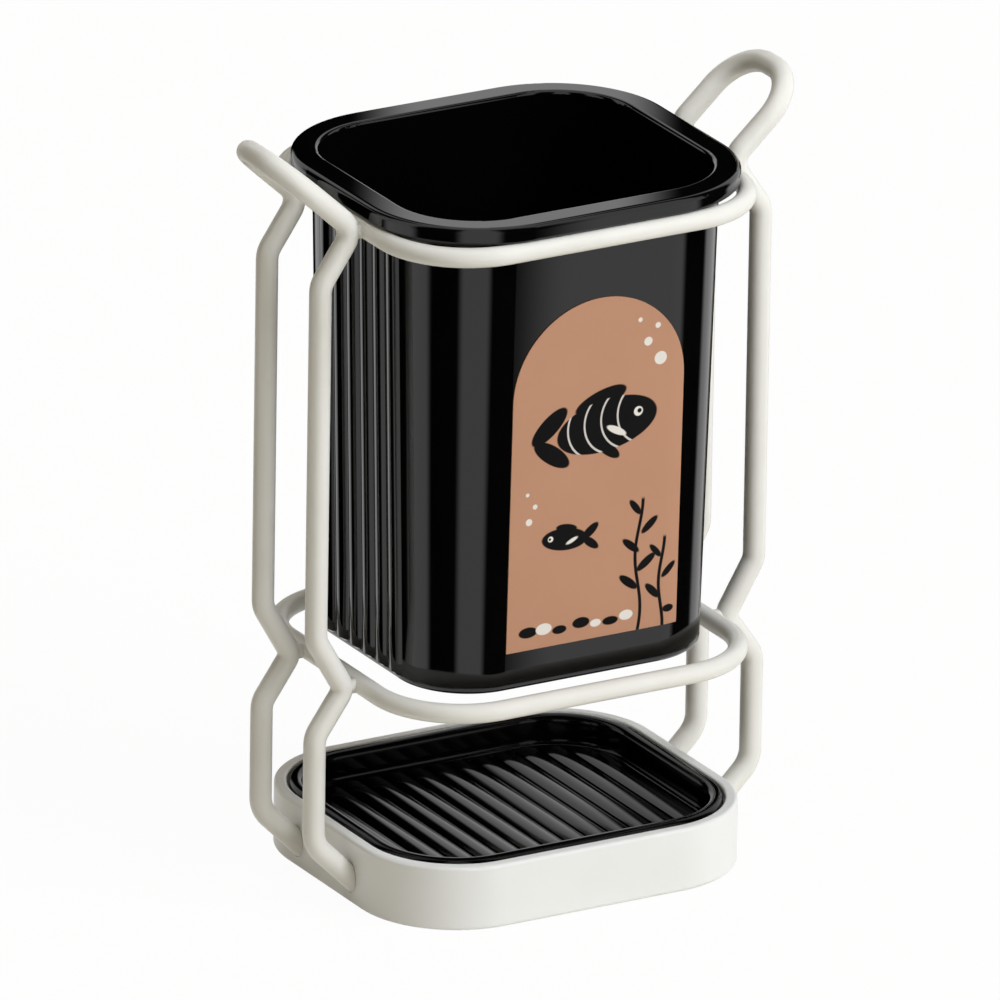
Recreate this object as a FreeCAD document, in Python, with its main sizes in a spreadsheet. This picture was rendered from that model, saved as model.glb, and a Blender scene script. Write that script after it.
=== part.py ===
import FreeCAD, Part
import Sketcher
import math
import os

# Table-top cutlery holder: a cup hung in a wire stand over a base with a drip tray.
# Millimetres and degrees. Origin at the middle of the base's underside, front towards -Y, +Z up.

doc = FreeCAD.newDocument("cutlery_holder")
sheet = doc.addObject("Spreadsheet::Sheet", "Sizes")
vector = FreeCAD.Vector
tolerance = 1e-4
sweepTolerance = 0.005

drivingSizes = {
    # Base: upright walls, a shallow seat for the tray's rim and a deeper recess for its pan
    "base_width": 102.0,
    "base_depth": 89.0,
    "base_corner": 26.0,
    "base_height": 16.6,
    "base_floor": 2.4,
    "base_wall": 3.2,
    "base_seat_drop": 1.8,
    "base_top_round": 0.9,
    "base_seat_round": 0.8,
    "base_foot_round": 1.0,
    # Drip tray: a rounded rim on the seat, crowned ridges on its floor
    "tray_fit": 0.3,
    "tray_pan_gap": 0.6,
    "tray_rim_rise": 0.5,
    "tray_rim_band": 3.8,
    "tray_wall": 1.6,
    "tray_floor": 1.6,
    "tray_sink": 7.6,
    "tray_rim_round": 1.8,
    "tray_inner_round": 1.6,
    "ridge_pitch": 6.18,
    "ridge_width": 5.3,
    "ridge_height": 1.2,
    "ridge_crown": 0.5,
    "ridge_gap": 3.2,
    # Cup: sizes of the body just under the flange, and how much each side draws in at the foot
    "cup_width": 87.6,
    "cup_depth": 78.6,
    "cup_corner": 22.0,
    "cup_body_height": 119.4,
    "cup_draw_in": 2.9,
    "cup_wall": 1.6,
    "cup_floor": 2.2,
    "cup_foot_round": 2.0,
    "cup_floor_round": 2.0,
    "flange_lap": 1.0,
    "flange_corner": 29.6,
    "flange_height": 4.3,
    "flange_round": 1.4,
    "flange_under_round": 0.8,
    "mouth_round": 1.0,
    "cup_seat_gap": 0.05,
    "drain_bore": 5.0,
    "drain_pitch_across": 18.0,
    "drain_pitch_along": 16.0,
    # Rounded reeds on the left and right walls of the cup
    "reed_pitch": 6.53,
    "reed_rise": 0.9,
    "reed_round": 5.8,
    "reed_run_out": 2.4,
    "reed_overrun": 1.0,
    # Printed film on the front wall
    "film_thickness": 0.25,
    "label_width": 47.8,
    "label_height": 89.0,
    "label_margin": 10.2,
    "label_shift": 2.2,
    # Wire rings
    "ring_wire": 4.9,
    "ring_gap": 2.4,
    "ring_corner": 22.0,
    "low_ring_level": 56.8,
    "high_ring_level": 174.6,
    # Side wires: feet, legs, kinks to the rings and loop handles
    "side_wire": 5.5,
    "leg_spacing": 26.5,
    "leg_offset": 7.3,
    "elbow_radius": 6.0,
    "foot_radius": 8.0,
    "foot_angle": 45.0,
    "foot_level": 6.8,
    "foot_insertion": 3.4,
    "socket_fit": 0.1,
    "kink_radius": 3.5,
    "kink_lower_angle": 35.0,
    "kink_upper_angle": 30.0,
    "shoulder_radius": 5.0,
    "shoulder_angle": 34.0,
    "handle_angle": 42.5,
    "handle_reach": 17.4,
    "handle_crown": 2.9,
    # Welds between the rings and the side wires
    "weld_gap": 0.3,
    "weld_radius": 1.8,
}

derivedSizes = {
    "seat_width": "=base_width - 2 * base_wall",
    "seat_depth": "=base_depth - 2 * base_wall",
    "seat_corner": "=base_corner - base_wall",
    "seat_level": "=base_height - base_seat_drop",
    "rim_width": "=seat_width - 2 * tray_fit",
    "rim_depth": "=seat_depth - 2 * tray_fit",
    "rim_corner": "=seat_corner - tray_fit",
    "rim_top": "=base_height + tray_rim_rise",
    "well_width": "=rim_width - 2 * tray_rim_band",
    "well_depth": "=rim_depth - 2 * tray_rim_band",
    "well_corner": "=rim_corner - tray_rim_band",
    "well_level": "=rim_top - tray_sink",
    "pan_width": "=well_width + 2 * tray_wall",
    "pan_depth": "=well_depth + 2 * tray_wall",
    "pan_corner": "=well_corner + tray_wall",
    "pan_level": "=well_level - tray_floor",
    "pan_height": "=seat_level - pan_level",
    "recess_width": "=pan_width + 2 * tray_pan_gap",
    "recess_depth": "=pan_depth + 2 * tray_pan_gap",
    "recess_corner": "=pan_corner + tray_pan_gap",
    "rim_height": "=rim_top - seat_level",
    "field_width": "=well_width - 2 * ridge_gap",
    "field_depth": "=well_depth - 2 * ridge_gap",
    "field_corner": "=well_corner - ridge_gap",
    "ridge_count": "=floor((field_width - ridge_width) / ridge_pitch) + 1",
    "ridge_run": "=ridge_pitch * (ridge_count - 1)",
    "ridge_left": "=ridge_run / 2 + ridge_width / 2",
    "ridge_foot": "=well_level - tray_floor / 2",
    "ridge_side": "=ridge_height - ridge_crown + tray_floor / 2",
    "ridge_crown_radius": "=(ridge_width * ridge_width / 4 + ridge_crown * ridge_crown) / (2 * ridge_crown)",
    "ring_width": "=cup_width + 2 * ring_gap + ring_wire",
    "ring_depth": "=cup_depth + 2 * ring_gap + ring_wire",
    "ring_reach": "=ring_width / 2",
    "ring_half_wire": "=ring_wire / 2",
    "flange_level": "=high_ring_level + ring_wire / 2 + cup_seat_gap",
    "flange_top": "=flange_level + flange_height",
    "flange_width": "=ring_width + 2 * flange_lap",
    "flange_depth": "=ring_depth + 2 * flange_lap",
    "cup_level": "=flange_level - cup_body_height",
    "cup_slope": "=cup_draw_in / cup_body_height",
    "cup_draft": "=atan(cup_slope)",
    "foot_width": "=cup_width - 2 * cup_draw_in",
    "foot_depth": "=cup_depth - 2 * cup_draw_in",
    "foot_corner": "=cup_corner - cup_draw_in",
    "bore_level": "=cup_level + cup_floor",
    "bore_foot_width": "=foot_width - 2 * cup_wall",
    "bore_foot_depth": "=foot_depth - 2 * cup_wall",
    "bore_foot_corner": "=foot_corner - cup_wall",
    "bore_height": "=flange_top - bore_level",
    "mouth_spread": "=bore_height * cup_slope",
    "mouth_width": "=bore_foot_width + 2 * mouth_spread",
    "mouth_depth": "=bore_foot_depth + 2 * mouth_spread",
    "mouth_corner": "=bore_foot_corner + mouth_spread",
    "skin_foot_width": "=foot_width + 2 * film_thickness",
    "skin_foot_depth": "=foot_depth + 2 * film_thickness",
    "skin_foot_corner": "=foot_corner + film_thickness",
    "label_level": "=cup_level + label_margin",
    "reed_start": "=cup_level + reed_run_out / 4",
    "reed_full": "=cup_level + reed_run_out",
    "reed_top_middle": "=cup_width / 2 + reed_rise - reed_round",
    "reed_full_middle": "=reed_top_middle - (flange_level - reed_full) * cup_slope",
    "reed_start_middle": "=reed_full_middle - cup_foot_round",
    "reed_count": "=floor((cup_depth - 2 * cup_corner + 2 * reed_overrun) / reed_pitch) + 1",
    "reed_run": "=reed_pitch * (reed_count - 1)",
    "reed_first": "=reed_run / 2",
    "drain_radius": "=drain_bore / 2",
    "label_spring": "=label_height - label_width / 2",
    "label_left": "=label_width / 2 - label_shift",
    "contact_reach": "=ring_width / 2 + ring_wire / 2 + weld_gap + side_wire / 2",
    "leg_reach": "=contact_reach + leg_offset",
    "handle_radius": "=(leg_spacing - handle_crown) / 2",
    "side_half_wire": "=side_wire / 2",
    "socket_radius": "=side_wire / 2 + socket_fit",
    "weld_length": "=weld_gap + weld_radius + weld_radius / 6",
    "weld_reach": "=ring_width / 2 + ring_wire / 2 + weld_gap / 2",
}

for row, (alias, content) in enumerate({**drivingSizes, **derivedSizes}.items(), start=1):
    sheet.set(f"A{row}", alias)
    sheet.set(f"B{row}", str(content))
    sheet.setAlias(f"B{row}", alias)
doc.recompute()


def size(alias):
    return float(sheet.get(alias))


def bind(item, path, alias):
    item.setExpression(path, f"Sizes.{alias}")


def newBody(name):
    return doc.addObject("PartDesign::Body", name)


def originPlane(body, role):
    return next(feature for feature in body.Origin.OriginFeatures if feature.Role == role)


def sketchOn(body, name, role, level=None):
    sketch = body.newObject("Sketcher::SketchObject", name)
    sketch.AttachmentSupport = [(originPlane(body, role), "")]
    sketch.MapMode = "FlatFace"
    if level:
        bind(sketch, ".AttachmentOffset.Base.z", level)
    return sketch


def dimension(sketch, name, alias, constraint):
    index = sketch.addConstraint(constraint)
    sketch.renameConstraint(index, name)
    bind(sketch, f"Constraints.{name}", alias)


def roundedRectangle(body, name, level, width, depth, corner):
    # Four sides joined by four equal tangent arcs, centred on the vertical axis
    sketch = sketchOn(body, name, "XY_Plane", level)
    halfWidth = size(width) / 2
    halfDepth = size(depth) / 2
    radius = size(corner)
    x = halfWidth - radius
    y = halfDepth - radius
    sides = [
        ((-x, -halfDepth), (x, -halfDepth)),
        ((halfWidth, -y), (halfWidth, y)),
        ((x, halfDepth), (-x, halfDepth)),
        ((-halfWidth, y), (-halfWidth, -y)),
    ]
    middles = [(x, -y), (x, y), (-x, y), (-x, -y)]
    for start, end in sides:
        sketch.addGeometry(Part.LineSegment(vector(*start, 0), vector(*end, 0)), False)
    for quarter, middle in enumerate(middles):
        circle = Part.Circle(vector(*middle, 0), vector(0, 0, 1), radius)
        begin = math.radians(90 * (quarter - 1))
        sketch.addGeometry(Part.ArcOfCircle(circle, begin, begin + math.pi / 2), False)
    for side in range(4):
        arc = side + 4
        following = (side + 1) % 4
        sketch.addConstraint(Sketcher.Constraint("Tangent", side, 2, arc, 1))
        sketch.addConstraint(Sketcher.Constraint("Tangent", arc, 2, following, 1))
    for side in (0, 2):
        sketch.addConstraint(Sketcher.Constraint("Horizontal", side))
    for side in (1, 3):
        sketch.addConstraint(Sketcher.Constraint("Vertical", side))
    for arc in (5, 6, 7):
        sketch.addConstraint(Sketcher.Constraint("Equal", 4, arc))
    sketch.addConstraint(Sketcher.Constraint("Symmetric", 4, 3, 6, 3, -1, 1))
    dimension(sketch, "corner", corner, Sketcher.Constraint("Radius", 4, radius))
    dimension(sketch, "width", width, Sketcher.Constraint("DistanceX", 3, 1, 1, 1, 2 * halfWidth))
    dimension(sketch, "depth", depth, Sketcher.Constraint("DistanceY", 0, 1, 2, 1, 2 * halfDepth))
    return sketch


def roundSketch(body, name, role, level, across, along, radius):
    # One circle; across and along are (alias, sign) pairs measured from the sketch's origin
    sketch = sketchOn(body, name, role, level)
    places = [sign * size(alias) for alias, sign in (across, along)]
    sketch.addGeometry(Part.Circle(vector(*places, 0), vector(0, 0, 1), size(radius)), False)
    for kind, (alias, sign) in (("DistanceX", across), ("DistanceY", along)):
        ends = (-1, 1, 0, 3) if sign > 0 else (0, 3, -1, 1)
        dimension(sketch, f"place{kind[-1]}", alias, Sketcher.Constraint(kind, *ends, size(alias)))
    dimension(sketch, "radius", radius, Sketcher.Constraint("Radius", 0, size(radius)))
    return sketch


def pad(body, name, sketch, length):
    feature = body.newObject("PartDesign::Pad", name)
    feature.Profile = sketch
    bind(feature, "Length", length)
    return feature


def pocketDown(body, name, sketch, formula):
    # Cuts from the sketch downwards and makes sure that material is gone
    doc.recompute()
    before = body.Shape.Volume
    feature = body.newObject("PartDesign::Pocket", name)
    feature.Profile = sketch
    feature.setExpression("Length", formula)
    doc.recompute()
    if body.Shape.Volume > before - 1.0:
        raise RuntimeError(f"{name} cuts nothing")
    return feature


def loft(body, name, sketches):
    feature = body.newObject("PartDesign::AdditiveLoft", name)
    feature.Profile = sketches[0]
    feature.Sections = sketches[1:]
    feature.Ruled = True
    return feature


def drafted(body, name, level, outline, height):
    # An upright block whose walls lean outwards by the cup's draft, level at its foot
    block = pad(body, name, roundedRectangle(body, f"{name}_outline", level, *outline), height)
    doc.recompute()
    walls = []
    for i, face in enumerate(block.Shape.Faces, start=1):
        upwards = face.normalAt(0, 0).z
        if abs(upwards) < tolerance:
            walls.append(f"Face{i}")
        elif upwards < 0:
            underside = f"Face{i}"
    feature = body.newObject("PartDesign::Draft", f"{name}_draft")
    feature.Base = (block, walls)
    feature.NeutralPlane = (block, [underside])
    bind(feature, "Angle", "cup_draft")
    feature.Reversed = True
    return feature


def roundEdges(body, name, radius, wanted):
    # Rounds the edges of the body's last feature that the test picks out
    doc.recompute()
    last = body.Tip
    names = [f"Edge{i}" for i, edge in enumerate(last.Shape.Edges, start=1) if wanted(edge)]
    if not names:
        raise RuntimeError(f"{name} finds no edge")
    feature = body.newObject("PartDesign::Fillet", name)
    feature.Base = (last, names)
    bind(feature, "Radius", radius)
    doc.recompute()
    return feature


def onOutline(level, outline):
    # Picks the edges at a level that belong to one outline: straight runs by their distance
    # from the axis, arcs by their radius
    width, depth, corner = (size(alias) for alias in outline)

    def wanted(edge):
        box = edge.BoundBox
        if max(abs(box.ZMin - level), abs(box.ZMax - level)) > tolerance:
            return False
        if edge.Curve.TypeId == "Part::GeomCircle":
            return abs(edge.Curve.Radius - corner) < tolerance
        middle = edge.valueAt((edge.FirstParameter + edge.LastParameter) / 2)
        alongX = abs(abs(middle.y) - depth / 2) < tolerance and abs(middle.x) < tolerance
        alongY = abs(abs(middle.x) - width / 2) < tolerance and abs(middle.y) < tolerance
        return alongX or alongY

    return wanted


baseOutline = ("base_width", "base_depth", "base_corner")
seatOutline = ("seat_width", "seat_depth", "seat_corner")
recessOutline = ("recess_width", "recess_depth", "recess_corner")
rimOutline = ("rim_width", "rim_depth", "rim_corner")
wellOutline = ("well_width", "well_depth", "well_corner")
panOutline = ("pan_width", "pan_depth", "pan_corner")
fieldOutline = ("field_width", "field_depth", "field_corner")
footOutline = ("foot_width", "foot_depth", "foot_corner")
flangeOutline = ("flange_width", "flange_depth", "flange_corner")
mouthOutline = ("mouth_width", "mouth_depth", "mouth_corner")
boreFootOutline = ("bore_foot_width", "bore_foot_depth", "bore_foot_corner")
skinFootOutline = ("skin_foot_width", "skin_foot_depth", "skin_foot_corner")
ringOutline = ("ring_width", "ring_depth", "ring_corner")


def makeRing(name, level):
    # A round wire along a closed rounded rectangle
    body = newBody(name)
    path = roundedRectangle(body, f"{name}_path", level, *ringOutline)
    place = (("ring_reach", 1), (level, 1))
    section = roundSketch(body, f"{name}_section", "XZ_Plane", None, *place, "ring_half_wire")
    doc.recompute()
    pipe = body.newObject("PartDesign::AdditivePipe", f"{name}_wire")
    pipe.Profile = section
    pipe.Spine = (path, [f"Edge{i}" for i in range(1, len(path.Shape.Edges) + 1)])
    body.Tip = pipe
    return body


def footAxis(side, row):
    # Where a foot meets the base's wall, and the way the wire leaves it: outwards and up
    lean = math.radians(size("foot_angle"))
    entry = vector(side * size("base_width") / 2, row * size("leg_spacing") / 2, size("foot_level"))
    return entry, vector(side * math.sin(lean), 0, math.cos(lean))


def bendCorner(middle, radius, incoming, outgoing):
    # The corner of two runs whose rounding has this middle and radius
    halfOpening = (math.pi - incoming.getAngle(outgoing)) / 2
    towardsMiddle = (outgoing - incoming).normalize()
    return middle - towardsMiddle * (radius / math.sin(halfOpening))


def pointAtReach(corner, direction, reach):
    return corner + direction * ((reach - corner.x) / direction.x)


def halfWirePoints():
    # Corners and rounding radii of one leg and half a handle, on the right side at the front
    front = -size("leg_spacing") / 2
    legReach = size("leg_reach")
    contactReach = size("contact_reach")
    entry, footWay = footAxis(1, -1)
    footEnd = entry - footWay * size("foot_insertion")
    ankle = pointAtReach(entry, footWay, legReach)

    lowerLean = math.radians(size("kink_lower_angle"))
    upperLean = math.radians(size("kink_upper_angle"))
    kinkIn = vector(-math.sin(lowerLean), 0, math.cos(lowerLean))
    kinkOut = vector(math.sin(upperLean), 0, math.cos(upperLean))
    kinkMiddle = vector(contactReach + size("kink_radius"), front, size("low_ring_level"))
    kink = bendCorner(kinkMiddle, size("kink_radius"), kinkIn, kinkOut)

    shoulderLean = math.radians(size("shoulder_angle"))
    handleLean = math.radians(size("handle_angle"))
    shoulderIn = vector(-math.sin(shoulderLean), 0, math.cos(shoulderLean))
    handleOut = vector(math.cos(handleLean), 0, math.sin(handleLean))
    shoulderMiddle = vector(contactReach + size("shoulder_radius"), front, size("high_ring_level"))
    shoulder = bendCorner(shoulderMiddle, size("shoulder_radius"), shoulderIn, handleOut)

    elbow = size("elbow_radius")
    points = [
        footEnd,
        ankle,
        pointAtReach(kink, kinkIn, legReach),
        kink,
        pointAtReach(kink, kinkOut, legReach),
        pointAtReach(shoulder, shoulderIn, legReach),
        shoulder,
        pointAtReach(shoulder, handleOut, contactReach + size("handle_reach")),
    ]
    radii = [
        size("foot_radius"),
        elbow,
        size("kink_radius"),
        elbow,
        elbow,
        size("shoulder_radius"),
        size("handle_radius"),
    ]
    return points, radii


def roundedPath(points, radii):
    # Straight runs joined by tangent arcs
    edges = []
    start = points[0]
    for before, corner, after, radius in zip(points, points[1:], points[2:], radii):
        back = (before - corner).normalize()
        ahead = (after - corner).normalize()
        halfOpening = back.getAngle(ahead) / 2
        trim = radius / math.tan(halfOpening)
        inwards = (back + ahead).normalize()
        arcStart = corner + back * trim
        arcEnd = corner + ahead * trim
        arcMiddle = corner + inwards * (radius / math.sin(halfOpening) - radius)
        edges.append(Part.LineSegment(start, arcStart).toShape())
        edges.append(Part.Arc(arcStart, arcMiddle, arcEnd).toShape())
        start = arcEnd
    edges.append(Part.LineSegment(start, points[-1]).toShape())
    return Part.Wire(edges)


def makeSideWire(name, side):
    # One wire per side: foot, leg, loop handle and the other leg, all in one run
    points, radii = halfWirePoints()
    points = [vector(side * point.x, point.y, point.z) for point in points]
    points += [vector(point.x, -point.y, point.z) for point in reversed(points)]
    wire = roundedPath(points, radii + radii[::-1])

    path = doc.addObject("Part::Feature", f"{name}_path")
    path.Shape = wire
    section = doc.addObject("Part::Circle", f"{name}_section")
    bind(section, "Radius", "side_half_wire")
    entry, footWay = footAxis(side, -1)
    section.Placement = FreeCAD.Placement(points[0], FreeCAD.Rotation(vector(0, 0, 1), footWay))
    sweep = doc.addObject("Part::Sweep", name)
    sweep.Sections = [section]
    sweep.Spine = (path, [f"Edge{i}" for i in range(1, len(wire.Edges) + 1)])
    sweep.Solid = True
    sweep.Frenet = False
    doc.recompute()
    expected = math.pi * size("side_half_wire") ** 2 * wire.Length
    if abs(sweep.Shape.Volume / expected - 1) > sweepTolerance:
        raise RuntimeError(f"{name} is not an even wire")
    return sweep


def makeBase():
    block = newBody("base_block")
    pad(block, "base_body", roundedRectangle(block, "base_outline", None, *baseOutline), "base_height")
    seat = roundedRectangle(block, "seat_outline", "base_height", *seatOutline)
    pocketDown(block, "seat", seat, "Sizes.base_seat_drop")
    recess = roundedRectangle(block, "recess_outline", "seat_level", *recessOutline)
    pocketDown(block, "recess", recess, "Sizes.seat_level - Sizes.base_floor")
    top = size("base_height")
    roundEdges(block, "top_rounding", "base_top_round", onOutline(top, baseOutline))
    roundEdges(block, "seat_rounding", "base_seat_round", onOutline(top, seatOutline))
    roundEdges(block, "underside_rounding", "base_foot_round", onOutline(0, baseOutline))

    # Slanting sockets for the four feet of the side wires
    bores = []
    for side in (-1, 1):
        for row in (-1, 1):
            entry, footWay = footAxis(side, row)
            bore = doc.addObject("Part::Cylinder", "foot_bore")
            bind(bore, "Radius", "socket_radius")
            bore.setExpression("Height", "Sizes.foot_insertion + Sizes.socket_fit + Sizes.side_wire")
            bottom = entry - footWay * (size("foot_insertion") + size("socket_fit"))
            bore.Placement = FreeCAD.Placement(bottom, FreeCAD.Rotation(vector(0, 0, 1), footWay))
            bores.append(bore)
    sockets = doc.addObject("Part::MultiFuse", "foot_bores")
    sockets.Shapes = bores
    base = doc.addObject("Part::Cut", "base")
    base.Base = block
    base.Tool = sockets
    return base


def ridgeSketch(body):
    # Upright sides under a crowned top, rooted in the tray's floor at the left end of the row
    sketch = sketchOn(body, "ridge_outline", "XZ_Plane")
    width, side, radius = (size(alias) for alias in ("ridge_width", "ridge_side", "ridge_crown_radius"))
    left = -size("ridge_left")
    right = left + width
    low = size("ridge_foot")
    shoulder = low + side
    middle = shoulder + size("ridge_crown") - radius
    halfTurn = math.asin(width / 2 / radius)
    sketch.addGeometry(Part.LineSegment(vector(left, low, 0), vector(right, low, 0)), False)
    sketch.addGeometry(Part.LineSegment(vector(right, low, 0), vector(right, shoulder, 0)), False)
    crown = Part.Circle(vector((left + right) / 2, middle, 0), vector(0, 0, 1), radius)
    sketch.addGeometry(Part.ArcOfCircle(crown, math.pi / 2 - halfTurn, math.pi / 2 + halfTurn), False)
    sketch.addGeometry(Part.LineSegment(vector(left, shoulder, 0), vector(left, low, 0)), False)
    for line in range(4):
        sketch.addConstraint(Sketcher.Constraint("Coincident", line, 2, (line + 1) % 4, 1))
    sketch.addConstraint(Sketcher.Constraint("Horizontal", 0))
    sketch.addConstraint(Sketcher.Constraint("Vertical", 1))
    sketch.addConstraint(Sketcher.Constraint("Vertical", 3))
    sketch.addConstraint(Sketcher.Constraint("Equal", 1, 3))
    dimension(sketch, "crown", "ridge_crown_radius", Sketcher.Constraint("Radius", 2, radius))
    dimension(sketch, "width", "ridge_width", Sketcher.Constraint("DistanceX", 0, 1, 0, 2, width))
    dimension(sketch, "side", "ridge_side", Sketcher.Constraint("DistanceY", 1, 1, 1, 2, side))
    dimension(sketch, "place", "ridge_left", Sketcher.Constraint("DistanceX", 0, 1, -1, 1, -left))
    dimension(sketch, "level", "ridge_foot", Sketcher.Constraint("DistanceY", -1, 1, 0, 1, low))
    return sketch


def makeRidges():
    # A row of bars, trimmed to a rounded field so that their ends follow the corners of the well
    bars = newBody("ridge_bars")
    bar = pad(bars, "ridge_bar", ridgeSketch(bars), "well_depth")
    bar.SideType = "Symmetric"
    row = bars.newObject("PartDesign::LinearPattern", "ridge_row")
    row.Originals = [bar]
    row.Direction = (bar.Profile[0], ["H_Axis"])
    bind(row, "Length", "ridge_run")
    bind(row, "Occurrences", "ridge_count")
    bars.Tip = row
    field = newBody("ridge_field")
    outline = roundedRectangle(field, "field_outline", "ridge_foot", *fieldOutline)
    pad(field, "field_block", outline, "tray_sink")
    ridges = doc.addObject("Part::Common", "ridges")
    ridges.Base = bars
    ridges.Tool = field
    return ridges


def makeDripTray():
    shell = newBody("tray_shell")
    rim = roundedRectangle(shell, "rim_outline", "seat_level", *rimOutline)
    pad(shell, "rim", rim, "rim_height")
    pan = roundedRectangle(shell, "pan_outline", "pan_level", *panOutline)
    pad(shell, "pan", pan, "pan_height")
    well = roundedRectangle(shell, "well_outline", "rim_top", *wellOutline)
    pocketDown(shell, "well", well, "Sizes.tray_sink")
    roundEdges(shell, "rim_rounding", "tray_rim_round", onOutline(size("rim_top"), rimOutline))
    roundEdges(shell, "well_edge_rounding", "tray_rim_round", onOutline(size("rim_top"), wellOutline))
    roundEdges(shell, "well_floor_rounding", "tray_inner_round", onOutline(size("well_level"), wellOutline))
    roundEdges(shell, "pan_rounding", "tray_inner_round", onOutline(size("pan_level"), panOutline))
    tray = doc.addObject("Part::Fuse", "drip_tray")
    tray.Base = shell
    tray.Tool = makeRidges()
    return tray


def addReeds(cup):
    # Upright rounded ribs that follow the draft of the left and right walls and run out at the foot
    stations = (
        ("foot", "reed_start", "reed_start_middle"),
        ("low", "reed_full", "reed_full_middle"),
        ("top", "flange_level", "reed_top_middle"),
    )
    originals = []
    for side, sign in (("right", 1), ("left", -1)):
        sections = []
        for station, level, middle in stations:
            name = f"{side}_reed_{station}"
            place = ((middle, sign), ("reed_first", -1))
            sections.append(roundSketch(cup, name, "XY_Plane", level, *place, "reed_round"))
        originals.append(loft(cup, f"{side}_reed", sections))
    doc.recompute()
    pattern = cup.newObject("PartDesign::LinearPattern", "reeds")
    pattern.Originals = originals
    pattern.Direction = (sections[0], ["V_Axis"])
    bind(pattern, "Length", "reed_run")
    bind(pattern, "Occurrences", "reed_count")
    cup.Tip = pattern
    doc.recompute()


def addDrains(cup):
    # Three rows of three round drain holes through the floor
    sketch = sketchOn(cup, "drain_outline", "XY_Plane", "bore_level")
    radius = size("drain_bore") / 2
    hole = 0
    for column in (-1, 0, 1):
        for row in (-1, 0, 1):
            place = vector(column * size("drain_pitch_across"), row * size("drain_pitch_along"), 0)
            sketch.addGeometry(Part.Circle(place, vector(0, 0, 1), radius), False)
            for axis, step, alias in (("X", column, "drain_pitch_across"), ("Y", row, "drain_pitch_along")):
                ends = (-1, 1, hole, 3) if step >= 0 else (hole, 3, -1, 1)
                constraint = Sketcher.Constraint(f"Distance{axis}", *ends, abs(step) * size(alias))
                if step:
                    dimension(sketch, f"place{axis}{hole}", alias, constraint)
                else:
                    sketch.addConstraint(constraint)
            dimension(sketch, f"radius{hole}", "drain_radius", Sketcher.Constraint("Radius", hole, radius))
            hole += 1
    pocketDown(cup, "drains", sketch, "Sizes.cup_floor")


def makeCup():
    inside = newBody("cup_inside")
    drafted(inside, "inside", "bore_level", boreFootOutline, "bore_height")
    roundEdges(inside, "floor_rounding", "cup_floor_round", onOutline(size("bore_level"), boreFootOutline))

    cup = newBody("cup")
    drafted(cup, "cup_body", "cup_level", footOutline, "cup_body_height")
    roundEdges(cup, "foot_rounding", "cup_foot_round", onOutline(size("cup_level"), footOutline))
    addReeds(cup)
    flange = roundedRectangle(cup, "flange_outline", "flange_level", *flangeOutline)
    pad(cup, "flange", flange, "flange_height")
    hollow = cup.newObject("PartDesign::Boolean", "hollow")
    hollow.Type = "Cut"
    hollow.setObjects([inside])
    cup.Tip = hollow
    roundEdges(cup, "mouth_rounding", "mouth_round", onOutline(size("flange_top"), mouthOutline))
    roundEdges(cup, "flange_rounding", "flange_round", onOutline(size("flange_top"), flangeOutline))
    roundEdges(cup, "under_rounding", "flange_under_round", onOutline(size("flange_level"), flangeOutline))
    addDrains(cup)
    return cup


def labelSketch(body):
    # A straight-sided field with a half-round top
    sketch = sketchOn(body, "label_outline", "XZ_Plane")
    width = size("label_width")
    left = -size("label_left")
    right = left + width
    low = size("label_level")
    spring = low + size("label_spring")
    sketch.addGeometry(Part.LineSegment(vector(left, low, 0), vector(right, low, 0)), False)
    sketch.addGeometry(Part.LineSegment(vector(right, low, 0), vector(right, spring, 0)), False)
    crown = Part.Circle(vector((left + right) / 2, spring, 0), vector(0, 0, 1), width / 2)
    sketch.addGeometry(Part.ArcOfCircle(crown, 0, math.pi), False)
    sketch.addGeometry(Part.LineSegment(vector(left, spring, 0), vector(left, low, 0)), False)
    sketch.addConstraint(Sketcher.Constraint("Coincident", 0, 2, 1, 1))
    sketch.addConstraint(Sketcher.Constraint("Tangent", 1, 2, 2, 1))
    sketch.addConstraint(Sketcher.Constraint("Tangent", 2, 2, 3, 1))
    sketch.addConstraint(Sketcher.Constraint("Coincident", 3, 2, 0, 1))
    sketch.addConstraint(Sketcher.Constraint("Vertical", 1))
    sketch.addConstraint(Sketcher.Constraint("Vertical", 3))
    sketch.addConstraint(Sketcher.Constraint("Horizontal", 0))
    dimension(sketch, "width", "label_width", Sketcher.Constraint("DistanceX", 0, 1, 0, 2, width))
    dimension(sketch, "place", "label_left", Sketcher.Constraint("DistanceX", 0, 1, -1, 1, -left))
    dimension(sketch, "level", "label_level", Sketcher.Constraint("DistanceY", -1, 1, 0, 1, low))
    dimension(sketch, "spring", "label_spring", Sketcher.Constraint("DistanceY", 1, 1, 1, 2, spring - low))
    return sketch


def makeLabel():
    # A thin film that follows the cup's front wall and the start of its corners
    outer = newBody("film_outer")
    drafted(outer, "film_outside", "cup_level", skinFootOutline, "cup_body_height")
    inner = newBody("film_inner")
    drafted(inner, "film_inside", "cup_level", footOutline, "cup_body_height")
    skin = doc.addObject("Part::Cut", "film_skin")
    skin.Base = outer
    skin.Tool = inner
    window = newBody("film_window")
    pad(window, "film_window_pad", labelSketch(window), "cup_depth")
    label = doc.addObject("Part::Common", "front_label")
    label.Base = skin
    label.Tool = window
    return label


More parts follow.
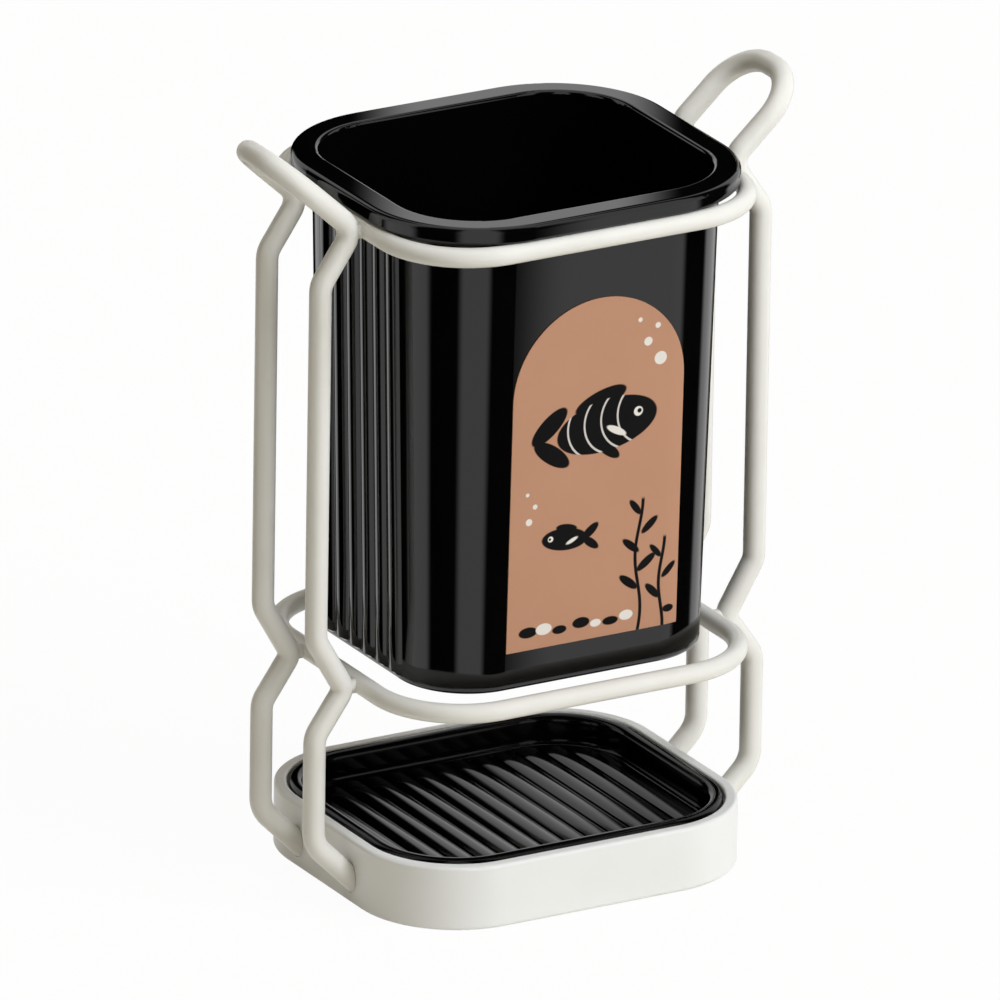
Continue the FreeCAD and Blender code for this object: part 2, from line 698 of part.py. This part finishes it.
def makeWelds(wires):
    # Short round beads between each side wire and the rings, trimmed to the wires they join
    bars = []
    for level in ("low_ring_level", "high_ring_level"):
        for side in (-1, 1):
            for row in (-1, 1):
                bar = doc.addObject("Part::Cylinder", "weld_bar")
                bind(bar, "Radius", "weld_radius")
                bind(bar, "Height", "weld_length")
                start = size("weld_reach") - size("weld_length") / 2
                place = vector(side * start, row * size("leg_spacing") / 2, size(level))
                turn = FreeCAD.Rotation(vector(0, 0, 1), vector(side, 0, 0))
                bar.Placement = FreeCAD.Placement(place, turn)
                bars.append(bar)
    joined = doc.addObject("Part::MultiFuse", "weld_bars")
    joined.Shapes = bars
    frame = doc.addObject("Part::MultiFuse", "wire_frame")
    frame.Shapes = wires
    welds = doc.addObject("Part::Cut", "weld_beads")
    welds.Base = joined
    welds.Tool = frame
    return welds


lowerRing = makeRing("lower_ring", "low_ring_level")
upperRing = makeRing("upper_ring", "high_ring_level")
leftWire = makeSideWire("left_side_wire", -1)
rightWire = makeSideWire("right_side_wire", 1)
nodes = [
    makeBase(),
    makeDripTray(),
    lowerRing,
    upperRing,
    leftWire,
    rightWire,
    makeWelds([lowerRing, upperRing, leftWire, rightWire]),
    makeCup(),
    makeLabel(),
]
doc.recompute()

for item in doc.Objects:
    if "Invalid" in item.State or "Error" in item.State:
        raise RuntimeError(f"{item.Label} failed: {item.State}")
for node in nodes:
    if node.Shape.isNull() or not node.Shape.isValid():
        raise RuntimeError(f"{node.Label} has no valid shape")

os.makedirs("parts", exist_ok=True)
for node in nodes:
    node.Shape.exportStep(f"parts/{node.Label}.step")
    box = node.Shape.BoundBox
    print(f"{node.Label}: {len(node.Shape.Solids)} solid(s), {node.Shape.Volume:.0f} mm3,"
          f" {box.XLength:.2f} x {box.YLength:.2f} x {box.ZLength:.2f}, z {box.ZMin:.2f} to {box.ZMax:.2f}")
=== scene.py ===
import bpy
import math
from mathutils import Matrix, Vector


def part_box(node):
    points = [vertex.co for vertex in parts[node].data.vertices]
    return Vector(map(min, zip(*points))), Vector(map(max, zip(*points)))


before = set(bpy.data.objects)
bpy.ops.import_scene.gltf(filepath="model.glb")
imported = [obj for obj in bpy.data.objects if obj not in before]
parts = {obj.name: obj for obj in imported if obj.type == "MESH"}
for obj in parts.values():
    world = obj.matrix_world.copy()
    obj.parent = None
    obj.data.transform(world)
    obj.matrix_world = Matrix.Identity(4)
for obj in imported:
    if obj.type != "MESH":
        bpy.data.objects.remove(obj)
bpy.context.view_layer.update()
scene = bpy.context.scene
scene.view_settings.view_transform = "Standard"
mm = 0.001
print("frame loaded:", ", ".join(sorted(parts)))


# small helpers for node trees
def put(tree, kind, inputs=None, **settings):
    node = tree.nodes.new(kind)
    for key, value in settings.items():
        setattr(node, key, value)
    for key, value in (inputs or {}).items():
        if isinstance(value, bpy.types.NodeSocket):
            tree.links.new(value, node.inputs[key])
        else:
            node.inputs[key].default_value = value
    return node


def calc(tree, operation, *values):
    return put(tree, "ShaderNodeMath", dict(enumerate(values)), operation=operation).outputs[0]


def fade(tree, value, start, end, low=0.0, high=1.0):
    ends = {"Value": value, "From Min": start, "From Max": end, "To Min": low, "To Max": high}
    return put(tree, "ShaderNodeMapRange", ends, interpolation_type="SMOOTHSTEP").outputs[0]


def blendColours(tree, amount, first, second):
    node = put(tree, "ShaderNodeMix", data_type="RGBA")
    for socket, value in zip((node.inputs[0], node.inputs[6], node.inputs[7]), (amount, first, second)):
        if isinstance(value, bpy.types.NodeSocket):
            tree.links.new(value, socket)
        elif isinstance(value, float):
            socket.default_value = value
        else:
            socket.default_value = (*value, 1.0)
    return node.outputs[2]


def newGroup(name, wanted, given):
    tree = bpy.data.node_groups.new(name, "ShaderNodeTree")
    for label, default in wanted.items():
        socket = tree.interface.new_socket(label, in_out="INPUT", socket_type="NodeSocketFloat")
        socket.default_value = default
    for label in given:
        tree.interface.new_socket(label, in_out="OUTPUT", socket_type="NodeSocketFloat")
    return tree, put(tree, "NodeGroupInput"), put(tree, "NodeGroupOutput")


def newMaterial(name):
    material = bpy.data.materials.new(name)
    material.use_nodes = True
    tree = material.node_tree
    return material, tree, tree.nodes["Principled BSDF"]


# camera: long lens far away, turned to the left of the front and a little above
camera = {
    "azimuth": -29.888,
    "elevation": 20.807,
    "roll": -0.905,
    "lens": 900.0,
    "sensor": 36.0,
    "distance": 6097.6 * mm,
    "aim": Vector((0.0, 0.0, 97.56 * mm)),
    "slideRight": -2.618 * mm,
    "slideUp": -5.409 * mm,
}


def makeCamera():
    a, e, r = (math.radians(camera[key]) for key in ("azimuth", "elevation", "roll"))
    right = Vector((math.cos(a), math.sin(a), 0.0))
    back = Vector((math.sin(a) * math.cos(e), -math.cos(a) * math.cos(e), math.sin(e)))
    up = back.cross(right)
    turnedRight = right * math.cos(r) - up * math.sin(r)
    turnedUp = right * math.sin(r) + up * math.cos(r)
    place = camera["aim"] + back * camera["distance"]
    place += turnedRight * camera["slideRight"] + turnedUp * camera["slideUp"]
    data = bpy.data.cameras.new("photoCamera")
    data.sensor_width = camera["sensor"]
    data.lens = camera["lens"]
    data.clip_end = 40.0
    eye = bpy.data.objects.new("photoCamera", data)
    scene.collection.objects.link(eye)
    axes = Matrix((turnedRight, turnedUp, back)).transposed().to_4x4()
    eye.matrix_world = Matrix.Translation(place) @ axes
    scene.camera = eye


makeCamera()
print("camera set")

# stage: pale floor, soft light, and cards that only show in glossy surfaces
stage = {
    "floorHalf": 12.0,
    "floorRoughness": 0.9,
    "floorColour": (0.80, 0.77, 0.70),
    "floorWhite": 0.96,
    "skyLight": 0.19,
    "skyTint": (1.0, 0.90, 0.66),
    # place, size, power and colour of each lamp
    "keyLamp": (Vector((0.75, -1.15, 1.3)), 1.0, 26.2, (0.88, 0.93, 1.0)),
    "fillLamp": (Vector((0.5, -1.5, 0.2)), 1.0, 7.0, (1.0, 1.0, 1.0)),
    "topLamp": (Vector((-0.2, 0.0, 1.9)), 1.0, 8.3, (1.0, 1.0, 1.0)),
    "backLamp": (Vector((0.75, 1.35, 0.3)), 1.0, 13.0, (1.0, 0.98, 0.95)),
    "cardRadius": 135.0 * mm,
    "cardFoot": 0.5 * mm,
    "cardHeight": 420.0 * mm,
    "cardSteps": 144,
    # equal white cards, evenly spaced round the object
    "cardCount": 6,
    "cardStrength": 1.0,
    # a card fades in between these heights of the wave that spaces the cards
    "cardEdge": (-0.3, 0.5),
}


def seenDirectly(tree):
    path = put(tree, "ShaderNodeLightPath")
    seen = calc(tree, "MAXIMUM", path.outputs["Is Camera Ray"], path.outputs["Is Glossy Ray"])
    return calc(tree, "MAXIMUM", seen, path.outputs["Is Transmission Ray"])


def makeFloor():
    half = stage["floorHalf"]
    mesh = bpy.data.meshes.new("floor")
    corners = [(-half, -half, 0), (half, -half, 0), (half, half, 0), (-half, half, 0)]
    mesh.from_pydata(corners, [], [(0, 1, 2, 3)])
    floor = bpy.data.objects.new("floor", mesh)
    scene.collection.objects.link(floor)
    material, tree, shader = newMaterial("paleFloor")
    shader.inputs["Base Color"].default_value = (*stage["floorColour"], 1.0)
    shader.inputs["Roughness"].default_value = stage["floorRoughness"]
    shader.inputs["Specular IOR Level"].default_value = 0.0
    white = put(tree, "ShaderNodeEmission")
    amount = calc(tree, "MULTIPLY", seenDirectly(tree), stage["floorWhite"])
    blend = put(tree, "ShaderNodeMixShader", {0: amount, 1: shader.outputs[0], 2: white.outputs[0]})
    tree.links.new(blend.outputs[0], tree.nodes["Material Output"].inputs["Surface"])
    mesh.materials.append(material)


def makeSky():
    world = bpy.data.worlds.new("studioSky")
    scene.world = world
    world.use_nodes = True
    tree = world.node_tree
    seen = seenDirectly(tree)
    strength = put(tree, "ShaderNodeMapRange", {"Value": seen, "To Min": stage["skyLight"]}).outputs[0]
    tree.links.new(strength, tree.nodes["Background"].inputs["Strength"])
    tint = blendColours(tree, seen, stage["skyTint"], (1.0, 1.0, 1.0))
    tree.links.new(tint, tree.nodes["Background"].inputs["Color"])


def makeLamp(name):
    place, size, power, colour = stage[name]
    data = bpy.data.lights.new(name, "AREA")
    data.shape = "DISK"
    data.size = size
    data.energy = power
    data.color = colour
    lamp = bpy.data.objects.new(name, data)
    scene.collection.objects.link(lamp)
    lamp.location = place
    lamp.rotation_euler = (place - camera["aim"]).to_track_quat("Z", "Y").to_euler()
    lamp.visible_camera = False
    lamp.visible_glossy = False


def makeCards():
    steps, radius = stage["cardSteps"], stage["cardRadius"]
    levels = (stage["cardFoot"], stage["cardHeight"])
    points = []
    for step in range(steps):
        turn = math.tau * step / steps
        points += [(radius * math.cos(turn), radius * math.sin(turn), z) for z in levels]
    count = 2 * steps
    faces = [(i, i + 1, (i + 3) % count, (i + 2) % count) for i in range(0, count, 2)]
    mesh = bpy.data.meshes.new("studioCards")
    mesh.from_pydata(points, [], faces)
    cards = bpy.data.objects.new("studioCards", mesh)
    scene.collection.objects.link(cards)
    material, tree = newMaterial("cardTones")[:2]
    place = put(tree, "ShaderNodeSeparateXYZ", {0: put(tree, "ShaderNodeNewGeometry").outputs["Position"]})
    bearing = calc(tree, "ARCTAN2", place.outputs["Y"], place.outputs["X"])
    wave = calc(tree, "COSINE", calc(tree, "MULTIPLY", bearing, stage["cardCount"]))
    tone = calc(tree, "MULTIPLY", fade(tree, wave, *stage["cardEdge"]), stage["cardStrength"])
    glow = put(tree, "ShaderNodeEmission", {"Strength": tone})
    tree.links.new(glow.outputs[0], tree.nodes["Material Output"].inputs["Surface"])
    mesh.materials.append(material)
    for ray in ("camera", "diffuse", "transmission", "volume_scatter", "shadow"):
        setattr(cards, f"visible_{ray}", False)


makeFloor()
makeSky()
for lampName in ("keyLamp", "fillLamp", "topLamp", "backLamp"):
    makeLamp(lampName)
makeCards()
print("stage lit")


# shared effects
moulding = {
    "fineDetail": 3.0,
    "broadDetail": 4.0,
    "toneRange": (0.3, 0.7),
}

handling = {
    "streakStretch": (1.0, 1.0, 0.35),
    "streakDetail": 5.0,
    "streakTwist": 0.8,
    "streakRange": (0.45, 0.72),
    "speckRange": (0.16, 0.05),
    "lyingRange": (0.2, 0.95),
}


def makeGrain():
    wanted = {"Scale": 800.0, "Mottle": 40.0}
    tree, given, result = newGroup("mouldedGrain", wanted, ("Height", "Tone"))
    place = put(tree, "ShaderNodeTexCoord").outputs["Object"]
    fineGrain = {"Vector": place, "Scale": given.outputs["Scale"], "Detail": moulding["fineDetail"]}
    broadGrain = {"Vector": place, "Scale": given.outputs["Mottle"], "Detail": moulding["broadDetail"]}
    fine = put(tree, "ShaderNodeTexNoise", fineGrain)
    broad = put(tree, "ShaderNodeTexNoise", broadGrain)
    tree.links.new(fine.outputs["Fac"], result.inputs["Height"])
    tree.links.new(fade(tree, broad.outputs["Fac"], *moulding["toneRange"]), result.inputs["Tone"])
    return tree


def makeMarks():
    # faint wiped streaks, and dust that settles on what faces up
    wanted = {"Scale": 60.0, "Dust Scale": 900.0}
    tree, given, result = newGroup("handlingMarks", wanted, ("Smudge", "Dust"))
    place = put(tree, "ShaderNodeTexCoord").outputs["Object"]
    stretch = {"Vector": place, "Scale": handling["streakStretch"]}
    streaks = {
        "Vector": put(tree, "ShaderNodeMapping", stretch).outputs[0],
        "Scale": given.outputs["Scale"],
        "Detail": handling["streakDetail"],
        "Distortion": handling["streakTwist"],
    }
    wiped = put(tree, "ShaderNodeTexNoise", streaks)
    specks = put(tree, "ShaderNodeTexVoronoi", {"Vector": place, "Scale": given.outputs["Dust Scale"]})
    facing = put(tree, "ShaderNodeSeparateXYZ", {0: put(tree, "ShaderNodeNewGeometry").outputs["Normal"]})
    lying = fade(tree, facing.outputs["Z"], *handling["lyingRange"])
    speck = fade(tree, specks.outputs["Distance"], *handling["speckRange"])
    tree.links.new(fade(tree, wiped.outputs["Fac"], *handling["streakRange"]), result.inputs["Smudge"])
    tree.links.new(calc(tree, "MULTIPLY", speck, lying), result.inputs["Dust"])
    return tree


grainGroup = makeGrain()
marksGroup = makeMarks()


def effect(tree, group, **values):
    inputs = {key.replace("_", " "): value for key, value in values.items()}
    return put(tree, "ShaderNodeGroup", inputs, node_tree=group)


def addBump(tree, shader, height, strength, distance):
    bump = put(tree, "ShaderNodeBump", {"Height": height, "Strength": strength, "Distance": distance})
    tree.links.new(bump.outputs[0], shader.inputs["Normal"])


def wear(part, material):
    mesh = parts[part].data
    mesh.materials.clear()
    mesh.materials.append(material)


def smudgedRoughness(tree, shader, marks, piece):
    low = piece["roughness"]
    rough = fade(tree, marks.outputs["Smudge"], 0.0, 1.0, low, low + piece["roughSpread"])
    tree.links.new(rough, shader.inputs["Roughness"])


# base: satin cream plastic, with a painted highlight that makes it a little paler where the edges turn
base = {
    "colour": (0.80, 0.80, 0.785),
    "mottled": (0.77, 0.765, 0.745),
    "mottle": 55.0,
    "mottleShare": 0.5,
    # edge: colour of the painted highlight along the turned edges, with its bevel radius, samples, range
    # and share
    "edge": (0.85, 0.845, 0.83),
    "paintedHighlightRadius": 0.8 * mm,
    "paintedHighlightSamples": 6,
    "paintedHighlightRange": (0.995, 0.9),
    "paintedHighlightShare": 0.5,
    "roughness": 0.34,
    "roughSpread": 0.10,
    "smudge": 45.0,
    "grain": 1500.0,
    "grainDepth": 0.02 * mm,
    "grainStrength": 0.25,
}


def creamPlastic():
    material, tree, shader = newMaterial("creamPlastic")
    grain = effect(tree, grainGroup, Scale=base["grain"], Mottle=base["mottle"])
    marks = effect(tree, marksGroup, Scale=base["smudge"])
    # painted highlight: the colour turns paler where the bevelled normal bends away from the flat one,
    # along the edges
    soft = put(tree, "ShaderNodeBevel", {"Radius": base["paintedHighlightRadius"]}, samples=base["paintedHighlightSamples"])
    flat = put(tree, "ShaderNodeNewGeometry").outputs["Normal"]
    normals = {0: soft.outputs[0], 1: flat}
    turn = put(tree, "ShaderNodeVectorMath", normals, operation="DOT_PRODUCT").outputs["Value"]
    edge = fade(tree, turn, *base["paintedHighlightRange"], 0.0, base["paintedHighlightShare"])
    mottle = calc(tree, "MULTIPLY", grain.outputs["Tone"], base["mottleShare"])
    colour = blendColours(tree, mottle, base["colour"], base["mottled"])
    tree.links.new(blendColours(tree, edge, colour, base["edge"]), shader.inputs["Base Color"])
    smudgedRoughness(tree, shader, marks, base)
    addBump(tree, shader, grain.outputs["Height"], base["grainStrength"], base["grainDepth"])
    return material


# wires: cream powder coat with a slight orange peel
wire = {
    "colour": (0.76, 0.745, 0.70),
    "mottled": (0.725, 0.705, 0.655),
    "mottle": 90.0,
    "mottleShare": 0.6,
    "roughness": 0.36,
    "roughSpread": 0.12,
    "smudge": 70.0,
    "peel": 700.0,
    "peelDepth": 0.06 * mm,
    "peelStrength": 0.35,
}


def powderCoat():
    material, tree, shader = newMaterial("creamPowderCoat")
    grain = effect(tree, grainGroup, Scale=wire["peel"], Mottle=wire["mottle"])
    marks = effect(tree, marksGroup, Scale=wire["smudge"])
    mottle = calc(tree, "MULTIPLY", grain.outputs["Tone"], wire["mottleShare"])
    tree.links.new(blendColours(tree, mottle, wire["colour"], wire["mottled"]), shader.inputs["Base Color"])
    smudgedRoughness(tree, shader, marks, wire)
    addBump(tree, shader, grain.outputs["Height"], wire["peelStrength"], wire["peelDepth"])
    return material


# black plastic, polished on the cup and with less sheen on the tray
black = {
    "colour": (0.0011, 0.0011, 0.0012),
    "mottled": (0.0017, 0.0016, 0.0016),
    "mottle": 30.0,
    "dust": (0.06, 0.059, 0.056),
    "speck": 1500.0,
    "smudge": 38.0,
    "grain": 300.0,
    "grainDepth": 0.01 * mm,
    "grainStrength": 0.05,
}

cup = {
    "name": "cupBlack",
    "roughness": 0.05,
    "roughSpread": 0.05,
    "dustShare": 0.04,
    "bending": 1.5,
}

tray = {
    "name": "trayBlack",
    "roughness": 0.09,
    "roughSpread": 0.04,
    "dustShare": 0.06,
    "bending": 1.3,
}


def blackPlastic(piece):
    material, tree, shader = newMaterial(piece["name"])
    shader.inputs["IOR"].default_value = piece["bending"]
    grain = effect(tree, grainGroup, Scale=black["grain"], Mottle=black["mottle"])
    marks = effect(tree, marksGroup, Scale=black["smudge"], Dust_Scale=black["speck"])
    colour = blendColours(tree, grain.outputs["Tone"], black["colour"], black["mottled"])
    dust = calc(tree, "MULTIPLY", marks.outputs["Dust"], piece["dustShare"])
    tree.links.new(blendColours(tree, dust, colour, black["dust"]), shader.inputs["Base Color"])
    smudgedRoughness(tree, shader, marks, piece)
    addBump(tree, shader, grain.outputs["Height"], black["grainStrength"], black["grainDepth"])
    return material


# printed film: peach field with two fish, waterweed, bubbles and pebbles
film = {
    "field": (0.455, 0.240, 0.150),
    "fieldWorn": (0.43, 0.222, 0.136),
    "ink": (0.0035, 0.0030, 0.0030),
    "pale": (0.70, 0.66, 0.61),
    "soften": 0.12,
    # across, up, half length and half height in millimetres, turn in degrees
    "inkShapes": [
        # large fish
        (2.5, 55.5, 14.0, 6.8, 8), (-13.6, 57.6, 6.2, 2.5, 42), (-12.8, 50.2, 6.0, 2.3, -36),
        (0.6, 62.2, 7.4, 2.6, 18), (3.0, 49.0, 4.0, 1.5, -38),
        # small fish
        (-8.5, 27.5, 6.4, 2.9, -6), (-1.4, 28.4, 2.9, 1.2, 40), (-1.2, 25.4, 2.8, 1.1, -38),
        (-8.0, 30.3, 3.0, 1.1, -10),
        # leaves of the waterweed
        (9.8, 13.0, 3.2, 1.1, 142), (14.6, 17.5, 3.2, 1.1, 38), (10.2, 22.5, 3.0, 1.0, 140),
        (15.3, 27.2, 2.9, 1.0, 42), (11.2, 32.4, 2.6, 0.9, 128), (16.6, 9.6, 2.8, 1.0, 134),
        (21.0, 14.5, 2.6, 0.9, 44), (17.2, 20.0, 2.4, 0.8, 132),
        # pebbles
        (-18.0, 4.6, 2.6, 1.4, 0), (-9.2, 3.9, 2.0, 1.1, 0), (-3.2, 4.7, 2.4, 1.4, 0),
        (5.0, 3.8, 2.2, 1.1, 0), (21.2, 4.2, 1.6, 1.0, 0),
    ],
    "paleShapes": [
        # eyes and fins
        (11.2, 57.6, 1.25, 1.25, 0), (-12.4, 28.1, 0.75, 0.75, 0),
        (5.2, 53.6, 3.0, 0.9, -28), (-6.4, 26.8, 1.7, 0.5, 24),
        # bubbles
        (17.0, 70.5, 1.7, 1.7, 0), (13.4, 75.4, 1.15, 1.15, 0), (16.0, 79.2, 0.75, 0.75, 0),
        (11.0, 81.4, 0.6, 0.6, 0), (-18.6, 33.6, 0.9, 0.9, 0), (-17.0, 37.4, 0.65, 0.65, 0),
        (-19.2, 40.8, 0.5, 0.5, 0),
        # pale pebbles
        (-13.6, 4.8, 2.2, 1.5, 0), (0.9, 3.9, 1.5, 1.0, 0), (9.4, 4.5, 1.9, 1.3, 0),
    ],
    "pupils": [(11.5, 57.7, 0.6, 0.6, 0), (-12.6, 28.1, 0.36, 0.36, 0)],
    # thin pale outlines that show on the large fish: centre, half sizes
    "scaleLines": [
        (13.0, 57.4, 7.6, 8.2), (8.4, 56.8, 7.6, 8.2), (3.8, 56.2, 7.6, 8.2), (-0.8, 55.6, 7.6, 8.2),
    ],
    "scaleTurn": 8,
    "scaleWidth": (0.045, 0.02),
    "scaleStart": (2.0, 3.0),
    "scaleShare": 0.8,
    # place, sway, wave length, shift and top of the stems
    "stems": [(12.4, 0.9, 4.6, 0.4, 35.0), (19.0, 0.7, 3.8, 1.6, 24.0)],
    "stemWidth": (0.55, 0.35),
    "stemTip": 1.0,
    "mottle": 60.0,
    "mottleShare": 0.4,
    "roughness": 0.5,
    "roughSpread": 0.12,
    "sheen": 0.12,
    "smudge": 50.0,
    "grain": 2500.0,
    "grainDepth": 0.01 * mm,
    "grainStrength": 0.15,
}


def printedFilm():
    material, tree, shader = newMaterial("printedFilm")
    low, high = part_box("front_label")
    place = put(tree, "ShaderNodeSeparateXYZ", {0: put(tree, "ShaderNodeTexCoord").outputs["Object"]})
    across = calc(tree, "DIVIDE", calc(tree, "SUBTRACT", place.outputs["X"], (low.x + high.x) / 2), mm)
    up = calc(tree, "DIVIDE", calc(tree, "SUBTRACT", place.outputs["Z"], low.z), mm)
    sheet = put(tree, "ShaderNodeCombineXYZ", {"X": across, "Y": up}).outputs[0]
    soften = film["soften"]

    def reach(x, y, halfLength, halfHeight, turn):
        # distance from the middle of a turned oval, 1 on its outline
        local = {
            "Vector": sheet,
            "Location": (x, y, 0),
            "Rotation": (0, 0, math.radians(turn)),
            "Scale": (halfLength, halfHeight, 1),
        }
        inside = put(tree, "ShaderNodeMapping", local, vector_type="TEXTURE").outputs[0]
        return put(tree, "ShaderNodeVectorMath", {0: inside}, operation="LENGTH").outputs["Value"]

    def ovals(shapes):
        mask = 0.0
        for shape in shapes:
            edge = soften / min(shape[2:4])
            mask = calc(tree, "MAXIMUM", mask, fade(tree, reach(*shape), 1 + edge, 1 - edge))
        return mask

    def stem(start, sway, length, shift, top):
        turn = calc(tree, "MULTIPLY_ADD", up, 1 / length, shift)
        middle = calc(tree, "MULTIPLY_ADD", calc(tree, "SINE", turn), sway, start)
        aside = calc(tree, "ABSOLUTE", calc(tree, "SUBTRACT", across, middle))
        below = fade(tree, up, top, top - film["stemTip"])
        return calc(tree, "MULTIPLY", fade(tree, aside, *film["stemWidth"]), below)

    grain = effect(tree, grainGroup, Scale=film["grain"], Mottle=film["mottle"])
    marks = effect(tree, marksGroup, Scale=film["smudge"])
    mottle = calc(tree, "MULTIPLY", grain.outputs["Tone"], film["mottleShare"])
    colour = blendColours(tree, mottle, film["field"], film["fieldWorn"])
    ink = ovals(film["inkShapes"])
    for values in film["stems"]:
        ink = calc(tree, "MAXIMUM", ink, stem(*values))
    colour = blendColours(tree, ink, colour, film["ink"])
    body = ovals(film["inkShapes"][:1])
    start, end = film["scaleStart"]
    for x, y, halfLength, halfHeight in film["scaleLines"]:
        outline = reach(x, y, halfLength, halfHeight, film["scaleTurn"])
        off = calc(tree, "ABSOLUTE", calc(tree, "SUBTRACT", outline, 1.0))
        behind = fade(tree, across, x - start, x - end)
        shown = calc(tree, "MULTIPLY", behind, body)
        line = calc(tree, "MULTIPLY", fade(tree, off, *film["scaleWidth"]), shown)
        colour = blendColours(tree, calc(tree, "MULTIPLY", line, film["scaleShare"]), colour, film["pale"])
    colour = blendColours(tree, ovals(film["paleShapes"]), colour, film["pale"])
    colour = blendColours(tree, ovals(film["pupils"]), colour, film["ink"])
    tree.links.new(colour, shader.inputs["Base Color"])
    smudgedRoughness(tree, shader, marks, film)
    shader.inputs["Specular IOR Level"].default_value = film["sheen"]
    addBump(tree, shader, grain.outputs["Height"], film["grainStrength"], film["grainDepth"])
    return material


wear("base", creamPlastic())
coat = powderCoat()
for part in ("lower_ring", "upper_ring", "left_side_wire", "right_side_wire", "weld_beads"):
    wear(part, coat)
wear("cup", blackPlastic(cup))
wear("drip_tray", blackPlastic(tray))
wear("front_label", printedFilm())
print("finishes on")
